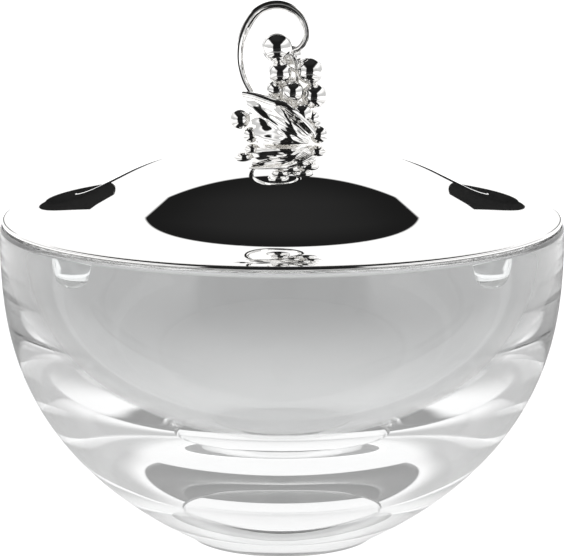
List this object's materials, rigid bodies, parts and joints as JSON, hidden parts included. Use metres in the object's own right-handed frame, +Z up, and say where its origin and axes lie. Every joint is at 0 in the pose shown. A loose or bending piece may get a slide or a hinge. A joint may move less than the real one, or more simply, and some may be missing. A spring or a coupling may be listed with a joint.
{
  "type": "lidded sugar bowl",
  "caption": "Thick clear crystal bowl with a domed silver lid that lifts off and turns, topped by a silver finial of grapes, a vine leaf and a curled tendril.",
  "frame": {"origin": "middle of the foot's underside, on the surface that the bowl stands on", "axes": "+Z up along the bowl's axis; the finial's front faces -Y, and +X is to its right"},
  "size_m": [0.115, 0.115, 0.1109],
  "materials": {
    "crystal": "polished clear lead crystal",
    "silver_lid": "spun silver, mirror polished, with faint wiping marks",
    "silver_finial": "cast silver, polished, darker where the pieces are soldered",
    "silver_fixing": "turned silver, left as machined under the lid",
    "steel": "stamped stainless washer",
    "clear_rubber": "clear silicone, smooth"
  },
  "bodies": {
    "bowl": {"glass_bowl": "crystal"},
    "hub": {"fixing_stud": "silver_fixing", "washer": "steel", "round_nut": "silver_fixing"},
    "lid": {"lid_shell": "silver_lid", "bumper_1": "clear_rubber", "bumper_2": "clear_rubber", "bumper_3": "clear_rubber", "finial_collet": "silver_finial", "grape_stalk": "silver_finial", "tendril": "silver_finial", "vine_leaf": "silver_finial", "grape_01": "silver_finial", "grape_02": "silver_finial", "grape_03": "silver_finial", "grape_04": "silver_finial", "grape_05": "silver_finial", "grape_06": "silver_finial", "grape_07": "silver_finial", "grape_08": "silver_finial", "grape_09": "silver_finial", "grape_10": "silver_finial", "grape_11": "silver_finial", "grape_12": "silver_finial", "grape_13": "silver_finial", "grape_14": "silver_finial", "grape_15": "silver_finial", "grape_16": "silver_finial", "grape_17": "silver_finial", "grape_18": "silver_finial", "grape_19": "silver_finial", "grape_20": "silver_finial", "grape_21": "silver_finial", "grape_22": "silver_finial"}
  },
  "joints": [
    {"name": "lid_lift", "type": "slide", "parent": "bowl", "child": "hub", "axis": [0, 0, 1], "range_m": [0, 0.12]},
    {"name": "lid_turn", "type": "hinge", "parent": "hub", "child": "lid", "pos_m": [0, 0, 0.08], "axis": [0, 0, 1], "continuous": true}
  ]
}
